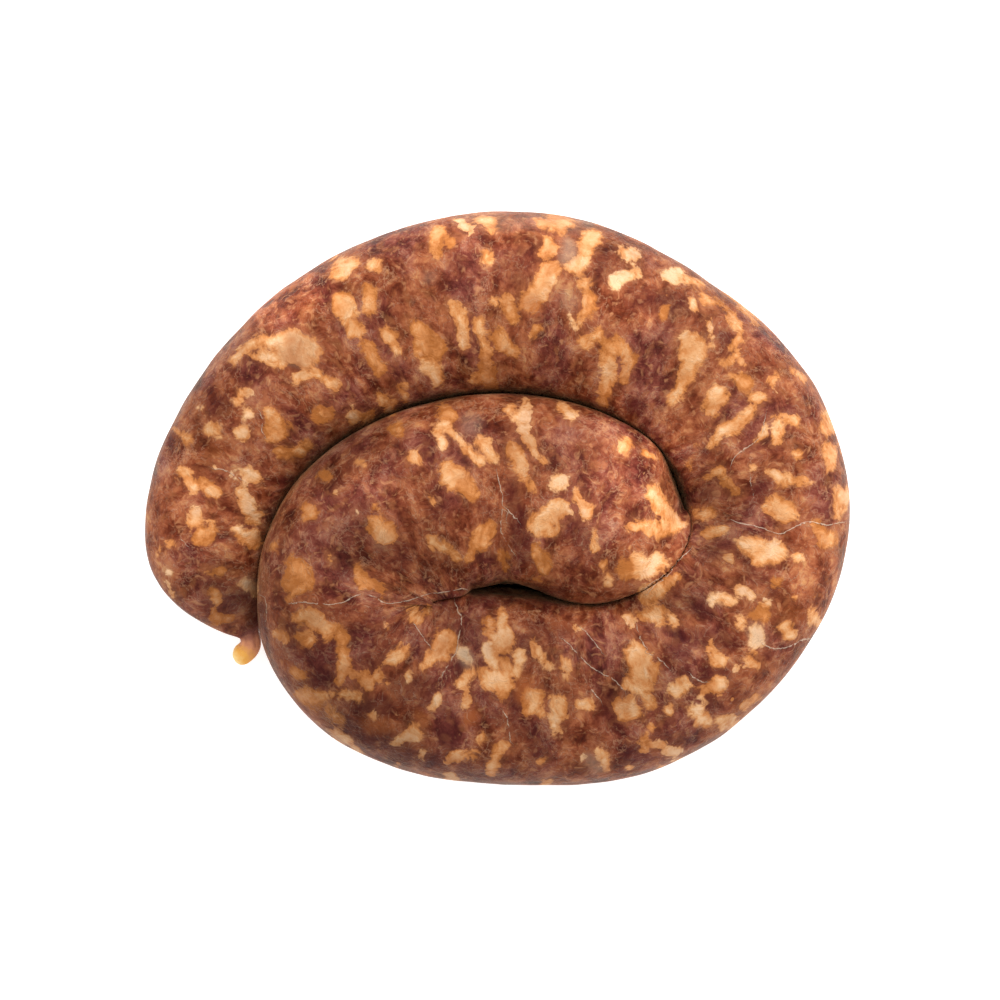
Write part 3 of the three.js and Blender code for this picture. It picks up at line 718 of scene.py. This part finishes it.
# the strokes' edges wander by chance, and they fade out where the skin turns under
WANDER = 0.45
OVER_THE_EDGE = 0.1
FADE_OUT = 0.35
wander = np.stack([lumps(place, 9.0, 16, seed) for seed in (4, 5)], axis=1)
shown = shown + WANDER * wander
from_above = np.clip((normal[:, 2] + OVER_THE_EDGE) / FADE_OUT, 0, 1)
print("points:", len(place))

# %% Distances into the strokes
# the furthest distance that is stored, in mm, the strokes' taper as a share of their width, and how
# fast the nearest stroke's tone takes over
FURTHEST = 8.0
TAPER = 0.4
TONE_FALLS = 2.5
# where inside its stroke a band of painted light and shade, or a patch, starts and is full, in mm
STRETCH_EDGE = -6.0, 3.0
STRETCH_POWER = 0.5
PATCH_EDGE = -1.4, 1.0


def over_strokes(strokes, points, taper=0.0):
    """For each stroke, how far inside its edge the points lie, in mm, and its last value.

    By chance, one end of a stroke is wider than the other by up to the taper either way.
    """
    chance = np.random.default_rng(6)
    for stroke in strokes:
        x1, y1, x2, y2, half_width, value = stroke if len(stroke) == 6 else (*stroke[:2], *stroke)
        away, share = from_segment(points, np.array([x1, y1]), np.array([x2, y2]))
        width = half_width * (1 + taper * chance.uniform(-1, 1) * (2 * share - 1))
        yield np.maximum(width - away, -FURTHEST), value


fat = np.full(len(place), -FURTHEST)
pull = np.full(len(place), 1e-6)
tone = 0.5 * pull
all_fat = FAT_LEFT + FAT_TOP + FAT_RIGHT + FAT_BOTTOM + FAT_LOBE
for inside, value in over_strokes(all_fat, shown, TAPER):
    fat = np.maximum(fat, inside)
    near = np.exp(TONE_FALLS * inside)
    pull += near
    tone += near * value
tone /= pull

# painted light and shade, as a factor on the skin's colour
shade = np.zeros(len(place))
for inside, change in over_strokes(BROAD_LIGHT_AND_SHADE, shown):
    shade += change * smooth(inside, *STRETCH_EDGE)
shade = 2 ** (STRETCH_POWER * shade * from_above)

patches = []
for strokes in [DARK_LEAN_AND_SHADE, STAINS, GREY_SPOTS_AND_RIM_SHEEN]:
    patch = np.zeros(len(place))
    for inside, strength in over_strokes(strokes, shown):
        patch = np.maximum(patch, strength * smooth(inside, *PATCH_EDGE))
    patches.append(patch * from_above)
print("fat seen from above, share:", round(float((fat[from_above > 0.5] > 0).mean()), 3))

# %% Distances to the threads and painted fold highlights
# the distance has a sign, one side of the thread or the other, so that it stays even across it
STEPS_A_POINT = 5
THREAD_ZONE = -2.2, -0.8
to_thread = np.full(len(place), FURTHEST)
thread_side = np.ones(len(place))
for thread in PALE_THREADS_AND_FOLD_HIGHLIGHTS:
    curve = spline(np.array(thread, dtype=float), np.linspace(0, 1, STEPS_A_POINT * len(thread)))
    for start, end in zip(curve[:-1], curve[1:]):
        away, _ = from_segment(shown, start, end)
        run = end - start
        offset = shown - start
        side = np.where(run[0] * offset[:, 1] > run[1] * offset[:, 0], 1.0, -1.0)
        thread_side = np.where(away < to_thread, side, thread_side)
        to_thread = np.minimum(to_thread, away)
thread_and_highlight_near = smooth(-to_thread, *THREAD_ZONE) * from_above

# %% Numbers stored with the mesh
TAIL_ZONE = OUTER_END["tail"] - 1.0, OUTER_END["tail"] + 3.0
straight = distance[1:-1] * sideways, distance[1:-1] * upward, along[1:-1, None]
straight = np.stack(np.broadcast_arrays(*straight), axis=-1).reshape(-1, 3)
straight = np.vstack([straight, [[0, 0, 0], [0, 0, LENGTH]]])
tail = 1 - smooth(straight[:, 2], *TAIL_ZONE)
for name, columns in {
    "straight_mm": straight.T,
    "fat_pieces": [fat, tone, from_above],
    "patches": patches,
    "threads": [to_thread * thread_side, thread_and_highlight_near, tail],
    "shading": [shade, shade, shade],
}.items():
    stored = mesh.attributes.new(name, "FLOAT_VECTOR", "POINT")
    stored.data.foreach_set("vector", np.stack(columns, axis=1).astype(np.float32).ravel())
print("stored:", [a.name for a in mesh.attributes if a.data_type == "FLOAT_VECTOR"])

# %% [markdown]
# ## Colour and nodes
# Colours are written as they look on a screen, as sRGB hex, and one function turns them into the
# linear values that Blender mixes light with. One function also adds a node to the sausage's
# material: it takes the node's settings and, for each input, a value or the output that feeds it.

# %% Colour and node helpers
def linear(hex_colour):
    """An sRGB hex colour, such as c08a60, as linear red, green, blue and alpha."""
    shares = [int(hex_colour[k:k + 2], 16) / 255 for k in (0, 2, 4)]
    return [s / 12.92 if s <= 0.04045 else ((s + 0.055) / 1.055) ** 2.4 for s in shares] + [1.0]


def node(kind, inputs, stops=(), **settings):
    """Adds a shader node and gives back its outputs. Stops are a colour ramp's colours."""
    made = meat.nodes.new("ShaderNode" + kind)
    for name, value in settings.items():
        setattr(made, name, value)
    for key, value in inputs.items():
        if isinstance(value, bpy.types.NodeSocket):
            meat.links.new(value, made.inputs[key])
        else:
            made.inputs[key].default_value = value
    for k, (position, colour) in enumerate(stops):
        elements = made.color_ramp.elements
        stop = elements[k] if k < 2 else elements.new(position)
        stop.position = position
        stop.color = linear(colour)
    return made.outputs


def new_material(name, settings):
    """A material, and its surface shader with these settings."""
    material = bpy.data.materials.new(name)
    material.use_nodes = True
    shader = material.node_tree.nodes["Principled BSDF"]
    for key, value in settings.items():
        shader.inputs[key].default_value = value
    return material, shader


# %% [markdown]
# ## Minced meat in a natural casing
# The casing is cleaned pig's gut: a thin, damp, slightly milky skin of collagen, IOR about 1.4.
# Behind it the cured meat has gone brown, purplish where the lean is dark and orange where it is
# soaked with spiced fat. The eye sees three sizes of detail: fat as large as a thumbnail, morsels
# and mottling a few millimetres across, and fine pale threads of gristle. Each is a noise at its
# own size. The coarse ones are read from the straightened sausage, so that the mince is packed
# along it as the filler pressed it in. The fine ones are read from the coiled one, stirred so
# strongly that they draw out into strands, as meat fibres do. The skin's gloss is low and broad,
# and a little sheen pales the rims, where the milky skin is seen at a slant.

# %% Where the patterns are read
casing_look, casing_shader = new_material("minced_meat_in_natural_casing", {
    "IOR": 1.4,
    "Specular IOR Level": 0.07,
    "Sheen Weight": 0.2,
    "Sheen Roughness": 0.32,
    "Sheen Tint": linear("c4a878"),
})
meat = casing_look.node_tree
SQUASHED_ALONG = 1.45
# the reading that is stirred, and the swirls' size in mm, detail and reach in mm
SWIRLS = [("packed", 12.0, 2.0, 5.0), ("packed", 3.6, 2.0, 1.3), ("coiled", 4.5, 1.0, 6.0)]
stored = node("Attribute", {}, attribute_name="straight_mm")["Vector"]
packed = node("VectorMath", {0: stored, 1: (1, 1, SQUASHED_ALONG)}, operation="MULTIPLY")[0]
coiled = node("TexCoord", {})["Object"]
coiled = node("VectorMath", {0: coiled, "Scale": 1000.0}, operation="SCALE")[0]
plain = {"packed": packed, "coiled": coiled}
stirred = dict(plain)
for name, size, detail, reach in SWIRLS:
    swirl = node("TexNoise", {"Vector": plain[name], "Scale": 1 / size, "Detail": detail})[1]
    swirl = node("VectorMath", {0: swirl, 1: (0.5, 0.5, 0.5)}, operation="SUBTRACT")[0]
    swirl = node("VectorMath", {0: swirl, "Scale": reach}, operation="SCALE")[0]
    stirred[name] = node("VectorMath", {0: stirred[name], 1: swirl}, operation="ADD")[0]

# %% Sizes of pattern
# size in mm, detail, roughness
PATTERNS = {
    "hue": (17.0, 2.0, 0.5),
    "veil": (10.0, 1.0, 0.5),
    "clumps": (6.5, 6.0, 0.6),
    "gristle": (4.6, 4.0, 0.6),
    "morsels": (3.6, 3.0, 0.55),
    "crumbs": (2.5, 5.0, 0.62),
    "fibre": (2.4, 2.0, 0.5),
    "specks": (1.7, 2.0, 0.5),
    "pores": (0.8, 2.0, 0.5),
}
# read from the coiled sausage, as a tight bend would squeeze such fine ones into streaks
FINE = ("crumbs", "fibre", "specks", "pores")
pattern = {}
for name, (size, detail, roughness) in PATTERNS.items():
    read_from = stirred["coiled" if name in FINE else "packed"]
    settings = {"Vector": read_from, "Scale": 1 / size, "Detail": detail, "Roughness": roughness}
    pattern[name] = node("TexNoise", settings)[0]

# %% The lean
LEAN_PURPLE = [(0.28, "370f0c"), (0.41, "4f1f19"), (0.52, "6d3429"), (0.62, "895140"), (0.76, "ab785a")]
LEAN_RED = [(0.28, "3c1208"), (0.41, "592412"), (0.52, "783b23"), (0.62, "955537"), (0.76, "b98456")]
hue = {"Value": pattern["hue"], "From Min": 0.36, "From Max": 0.56}
hue = node("MapRange", hue, interpolation_type="SMOOTHSTEP")[0]
crumbly = pattern["clumps"]
for name, strength in [("crumbs", 0.32), ("pores", 0.16)]:
    shaken = node("Math", {0: pattern[name], 1: 0.5}, operation="SUBTRACT")[0]
    crumbly = node("Math", {0: shaken, 1: strength, 2: crumbly}, operation="MULTIPLY_ADD")[0]
purple = node("ValToRGB", {0: crumbly}, stops=LEAN_PURPLE)[0]
red = node("ValToRGB", {0: crumbly}, stops=LEAN_RED)[0]
lean = node("Mix", {0: hue, 6: purple, 7: red}, data_type="RGBA")[2]

# %% Where the listed pieces are
pieces = node("Attribute", {}, attribute_name="fat_pieces")["Vector"]
inside, tone, from_above = node("SeparateXYZ", {0: pieces})
patch = node("Attribute", {}, attribute_name="patches")["Vector"]
# dark lean with painted crease shade, orange stains, and grey spots with painted rim sheen
dark, stain, grey = node("SeparateXYZ", {0: patch})
# pale threads with painted highlights along fold ridges
thread = node("Attribute", {}, attribute_name="threads")["Vector"]
thread_offset, thread_and_highlight_near, tail = node("SeparateXYZ", {0: thread})
ragged = inside
for name, reach in [("gristle", 3.6), ("crumbs", 3.4)]:
    shaken = node("Math", {0: pattern[name], 1: 0.5}, operation="SUBTRACT")[0]
    ragged = node("Math", {0: shaken, 1: reach, 2: ragged}, operation="MULTIPLY_ADD")[0]

# %% Fat on the sides and the underside, by chance
# pieces lie where the pattern rises above a level, and are pushed away from where the top shows
HIDDEN_SIZE = 8.5
HIDDEN_LEVEL = 0.585
HIDDEN_SPREAD = 30.0
SEEN_PUSH = -12.0
chance = {"Vector": stirred["packed"], "Scale": 1 / HIDDEN_SIZE, "Detail": 1.5, "Roughness": 0.4}
chance = node("TexNoise", chance)[0]
chance = node("Math", {0: chance, 1: HIDDEN_LEVEL}, operation="SUBTRACT")[0]
chance = node("Math", {0: chance, 1: HIDDEN_SPREAD}, operation="MULTIPLY")[0]
far_off = node("Math", {0: from_above, 1: SEEN_PUSH}, operation="MULTIPLY")[0]
chance = node("Math", {0: chance, 1: far_off}, operation="ADD")[0]
ragged = node("Math", {0: ragged, 1: chance}, operation="MAXIMUM")[0]

# %% Masks
# under a thick veil of skin the fat's edge is softer
softness = node("Math", {0: pattern["veil"], 1: -2.2, 2: 0.6}, operation="MULTIPLY_ADD")[0]
# name: what it is read from, and where it starts and is full
LEVELS = {
    "soaked": (ragged, -2.2, 0.2),
    "fat": (ragged, softness, 0.25),
    "fat_core": (ragged, 0.0, 1.4),
    "morsels": (pattern["morsels"], 0.5, 0.68),
    "crumb_fat": (pattern["specks"], 0.56, 0.73),
    "gristle_patchy": (pattern["veil"], 0.35, 0.65),
    "fibre_patchy": (pattern["clumps"], 0.42, 0.6),
    "thread_patchy": (pattern["specks"], 0.34, 0.5),
    "veil": (pattern["veil"], 0.32, 0.55),
}
mask = {}
for name, (source, start, full) in LEVELS.items():
    levels = {"Value": source, "From Min": start, "From Max": full}
    mask[name] = node("MapRange", levels, interpolation_type="SMOOTHSTEP")[0]
# a line is drawn where a value passes through a level, and only where its patches are
uneven_thread = {0: pattern["specks"], 1: 1.2, 2: thread_offset}
uneven_thread = node("Math", uneven_thread, operation="MULTIPLY_ADD")[0]
thread_zone = {0: thread_and_highlight_near, 1: mask["thread_patchy"]}
thread_zone = node("Math", thread_zone, operation="MULTIPLY")[0]
for name, source, level, width, patches in [
    ("gristle", pattern["gristle"], 0.5, 0.03, mask["gristle_patchy"]),
    ("fibre", pattern["fibre"], 0.5, 0.022, mask["fibre_patchy"]),
    ("thread", uneven_thread, 0.6, 0.2, thread_zone),
]:
    gap = node("Math", {0: source, 1: level}, operation="SUBTRACT")[0]
    gap = node("Math", {0: gap}, operation="ABSOLUTE")[0]
    levels = {"Value": gap, "From Min": width, "From Max": 0.0}
    line = node("MapRange", levels, interpolation_type="SMOOTHSTEP")[0]
    mask[name] = node("Math", {0: line, 1: patches}, operation="MULTIPLY")[0]

# %% The fat's own colour
FAT_TONES = [(0.0, "ddb38b"), (0.33, "d09a69"), (0.66, "c07d48"), (1.0, "a4622f")]
# paler in the middle of a piece, more orange at its edge and where the crumbs are low
fat_tone = node("Math", {0: crumbly, 1: -1.9, 2: tone}, operation="MULTIPLY_ADD")[0]
fat_tone = node("Math", {0: fat_tone, 1: 1.25}, operation="ADD")[0]
fat_tone = node("Math", {0: mask["fat_core"], 1: -0.38, 2: fat_tone}, operation="MULTIPLY_ADD")[0]
fat_colour = node("ValToRGB", {0: fat_tone}, stops=FAT_TONES)[0]
fat_share = node("Math", {0: mask["veil"], 1: 0.22, 2: 0.72}, operation="MULTIPLY_ADD")[0]
fat_share = node("Math", {0: fat_share, 1: mask["fat"]}, operation="MULTIPLY")[0]

# %% Layers, from the lean outwards
# mask, strength and colour
LAYERS = [
    (mask["morsels"], 0.32, linear("a8683f")),
    (mask["crumb_fat"], 0.4, linear("bd845a")),
    (mask["gristle"], 0.32, linear("b88a6a")),
    (mask["soaked"], 0.36, linear("8e5434")),
    # dark lean with painted shade in the creases and gaps
    (dark, 0.65, linear("431617")),
    (fat_share, 1.0, fat_colour),
    (stain, 0.6, linear("9a5328")),
    # grey spots with painted sheen along the top rims
    (grey, 0.55, linear("94816e")),
    (mask["fibre"], 0.16, linear("c8ab90")),
    # pale threads with painted highlights along fold ridges
    (mask["thread"], 0.55, linear("dcc4ac")),
]
skin_colour = lean
for share, strength, colour in LAYERS:
    share = node("Math", {0: share, 1: strength}, operation="MULTIPLY")[0]
    skin_colour = node("Mix", {0: share, 6: skin_colour, 7: colour}, data_type="RGBA")[2]

# %% Lighter and darker stretches
# painted light and shade, with some of the lean's own tone: stretches that face the light from the upper
# right are lighter, and those facing down or into the creases darker
light_shade_and_tone = node("Attribute", {}, attribute_name="shading")["Fac"]
skin_colour = node("HueSaturation", {"Value": light_shade_and_tone, "Color": skin_colour})[0]

# %% The tail of empty casing
tail_tone = node("SeparateXYZ", {0: stored})[2]
tail_tone = node("Math", {0: pattern["crumbs"], 1: 6.0, 2: tail_tone}, operation="MULTIPLY_ADD")[0]
tail_tone = {"Value": tail_tone, "From Min": 3.5, "From Max": 12.5}
tail_tone = node("MapRange", tail_tone)[0]
TAIL_TONES = [(0.0, "f0cc88"), (0.3, "e8a850"), (0.6, "cf8c66"), (1.0, "85504a")]
tail_colour = node("ValToRGB", {0: tail_tone}, stops=TAIL_TONES)[0]
skin_colour = node("Mix", {0: tail, 6: skin_colour, 7: tail_colour}, data_type="RGBA")[2]
meat.links.new(skin_colour, casing_shader.inputs["Base Color"])

# %% Relief and gloss
# heights in mm
RELIEF = [
    (mask["gristle"], 0.05),
    (pattern["clumps"], 0.8),
    (pattern["crumbs"], 0.25),
    (pattern["pores"], 0.1),
    (mask["fat"], 0.07),
    (mask["fibre"], 0.05),
    (mask["thread"], 0.14),
]
height = 0.0
for source, high in RELIEF:
    height = node("Math", {0: source, 1: high, 2: height}, operation="MULTIPLY_ADD")[0]
bump = node("Bump", {"Height": height, "Distance": 0.001, "Strength": 1.0})[0]
meat.links.new(bump, casing_shader.inputs["Normal"])
gloss = node("Math", {0: pattern["clumps"], 1: 0.3, 2: 0.3}, operation="MULTIPLY_ADD")[0]
meat.links.new(gloss, casing_shader.inputs["Roughness"])
mesh.materials.append(casing_look)
print("nodes in the casing's material:", len(meat.nodes))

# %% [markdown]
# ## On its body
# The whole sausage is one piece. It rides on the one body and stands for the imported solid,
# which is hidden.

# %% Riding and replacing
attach(casing, "root")
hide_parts("sausage")

# %% [markdown]
# ## Table and light
# The picture is lit from all round, on white, with a little more light from the upper right. A
# pale world does the first and one large softbox the second. The table is a matt white laminate
# that glows a little, as a lit table does for such a picture, which takes the shadow away. No
# light may shine up through the creases, so its middle, out of sight under the sausage, is black
# paper: the first face of the table's mesh, whose edge follows the route. This black sheet is
# painted shade, which darkens the gaps between the turns.

# %% The table
TABLE_HALF = 1.5
TABLE_GLOW = 0.5
# where along the sausage the paper's edge starts and ends, in mm
SHEET_FROM, SHEET_TO, SHEET_POINTS = 20.0, 338.0, 48
sheet_edge = route_at(np.linspace(SHEET_FROM, SHEET_TO, SHEET_POINTS))[:, :2] + shift[:2]
table_edge = TABLE_HALF * unit(sheet_edge)
table_mesh = bpy.data.meshes.new("pale_table")
table_corners = [(x, y, 0) for x, y in np.vstack([sheet_edge / 1000, table_edge])]
table_faces = [list(range(SHEET_POINTS))[::-1]]
for k in range(SHEET_POINTS):
    after_k = (k + 1) % SHEET_POINTS
    table_faces.append([k, after_k, SHEET_POINTS + after_k, SHEET_POINTS + k])
table_mesh.from_pydata(table_corners, [], table_faces)
table_top = bpy.data.objects.new("pale_table", table_mesh)
bpy.context.collection.objects.link(table_top)
for name, settings in {
    "matt_white_laminate": {
        "Base Color": linear("f6f6f6"),
        "Roughness": 0.85,
        "Emission Color": linear("ffffff"),
        "Emission Strength": TABLE_GLOW,
    },
    "painted_shade_black_paper": {"Base Color": linear("1c1715"), "Roughness": 0.9},
}.items():
    table_mesh.materials.append(new_material(name, settings)[0])
# the black paper in the middle is painted shade under the gaps between turns
table_mesh.polygons[0].material_index = 1
print("table's materials:", [look.name for look in table_mesh.materials])

# %% The light
AMBIENT = 1.0
SOFTBOX_PLACE = (0.3, 0.75, 0.85)
SOFTBOX_SIDE = 0.8
SOFTBOX_WATTS = 12.0
bpy.context.scene.view_settings.view_transform = "Standard"
room = bpy.data.worlds.new("soft_room")
room.use_nodes = True
room.node_tree.nodes["Background"].inputs["Color"].default_value = linear("ffffff")
room.node_tree.nodes["Background"].inputs["Strength"].default_value = AMBIENT
bpy.context.scene.world = room
softbox_data = bpy.data.lights.new("softbox", "AREA")
softbox_data.shape = "SQUARE"
softbox_data.size = SOFTBOX_SIDE
softbox_data.energy = SOFTBOX_WATTS
softbox = bpy.data.objects.new("softbox", softbox_data)
softbox.location = SOFTBOX_PLACE
softbox.rotation_euler = Vector(SOFTBOX_PLACE).to_track_quat("Z", "Y").to_euler()
bpy.context.collection.objects.link(softbox)
